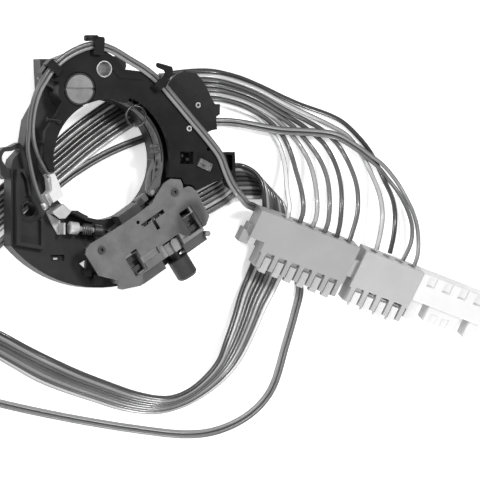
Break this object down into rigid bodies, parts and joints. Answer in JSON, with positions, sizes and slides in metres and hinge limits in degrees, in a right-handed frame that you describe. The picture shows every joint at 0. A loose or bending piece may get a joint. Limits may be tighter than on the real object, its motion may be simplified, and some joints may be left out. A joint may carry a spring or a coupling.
{
  "type": "indicator stalk switch",
  "caption": "Round steering-column indicator switch with a pivoting yoke, hazard push knob, sliding contacts and a flat cable ending in a connector row.",
  "frame": {"origin": "on the axis of the steering column hole, in the plane of the seat face behind the housing, at the centre of the circle of mounting screws", "axes": "+Z along the column axis towards the steering wheel and the viewer, +Y towards the top of the housing where the pivot and the top screw are, +X to the right seen from the wheel, towards the connectors"},
  "size_m": [0.2784, 0.1743, 0.0299],
  "materials": {
    "black_nylon": "satin",
    "grey_nylon": "satin",
    "natural_nylon": "satin",
    "ivory_nylon": "satin",
    "laminate": "matte",
    "steel": "satin",
    "spring_steel": "satin",
    "plate_steel": "satin",
    "brass": "satin",
    "wire_dark": "satin",
    "wire_grey": "satin",
    "wire_light": "satin"
  },
  "bodies": {
    "housing": {"base_housing": "black_nylon", "front_cover": "black_nylon", "harness_bracket": "black_nylon", "mounting_sleeves": "steel", "pivot_pin": "steel", "torsion_spring": "spring_steel", "detent_spring": "spring_steel", "earth_clip": "steel", "horn_contact": "steel", "terminal_board": "laminate", "board_eyelets": "brass", "switch_body": "ivory_nylon", "switch_plate": "plate_steel", "plate_rivets": "plate_steel", "fixed_contacts": "brass", "horn_terminal_block": "natural_nylon", "spring_seat": "grey_nylon", "cord_ribbon": "wire_grey", "cord_wire_1": "wire_dark", "cord_wire_2": "wire_light", "cord_wire_3": "wire_grey", "cord_wire_4": "wire_dark", "cord_wire_5": "wire_grey", "cord_wire_6": "wire_light", "cord_wire_7": "wire_dark", "cord_wire_8": "wire_light", "cord_pair_a": "wire_dark", "cord_pair_b": "wire_grey", "connector_six": "natural_nylon", "connector_four": "natural_nylon", "connector_end": "natural_nylon", "terminals_six": "natural_nylon", "terminals_four": "natural_nylon"},
    "yoke": {"signal_yoke": "grey_nylon", "yoke_bush": "brass", "lever_insert": "brass", "finger_pin": "steel"},
    "finger": {"cancel_finger": "grey_nylon"},
    "hazard": {"hazard_button": "grey_nylon", "hazard_slider": "ivory_nylon"},
    "carriage": {"contact_carriage": "natural_nylon", "bridge_contacts": "brass"},
    "plunger": {"detent_plunger": "ivory_nylon"}
  },
  "joints": [
    {"name": "yoke_pivot", "type": "hinge", "parent": "housing", "child": "yoke", "pos_m": [-0.0137, 0.0304, 0.011], "axis": [0, 0, 1], "range_deg": [-5, 5]},
    {"name": "finger_pivot", "type": "hinge", "parent": "yoke", "child": "finger", "pos_m": [0.0227, -0.0142, 0.011], "axis": [0, 0, 1], "range_deg": [-2, 10], "stiffness_Nm_per_rad": 0.002},
    {"name": "hazard_push", "type": "slide", "parent": "housing", "child": "hazard", "axis": [-0.5446, 0.8387, 0], "range_m": [0, 0.004]},
    {"name": "carriage_slide", "type": "slide", "parent": "housing", "child": "carriage", "axis": [0.8387, 0.5446, 0], "range_m": [-0.0052, 0.0052]},
    {"name": "plunger_slide", "type": "slide", "parent": "housing", "child": "plunger", "axis": [0.9945, -0.1045, 0], "range_m": [0, 0.0015], "stiffness_N_per_m": 200, "springref_m": -0.001, "deforming": ["detent_spring"]}
  ],
  "couplings": [
    {"joint": "carriage_slide", "follows": "yoke_pivot", "m_per_rad": 0.0582}
  ]
}
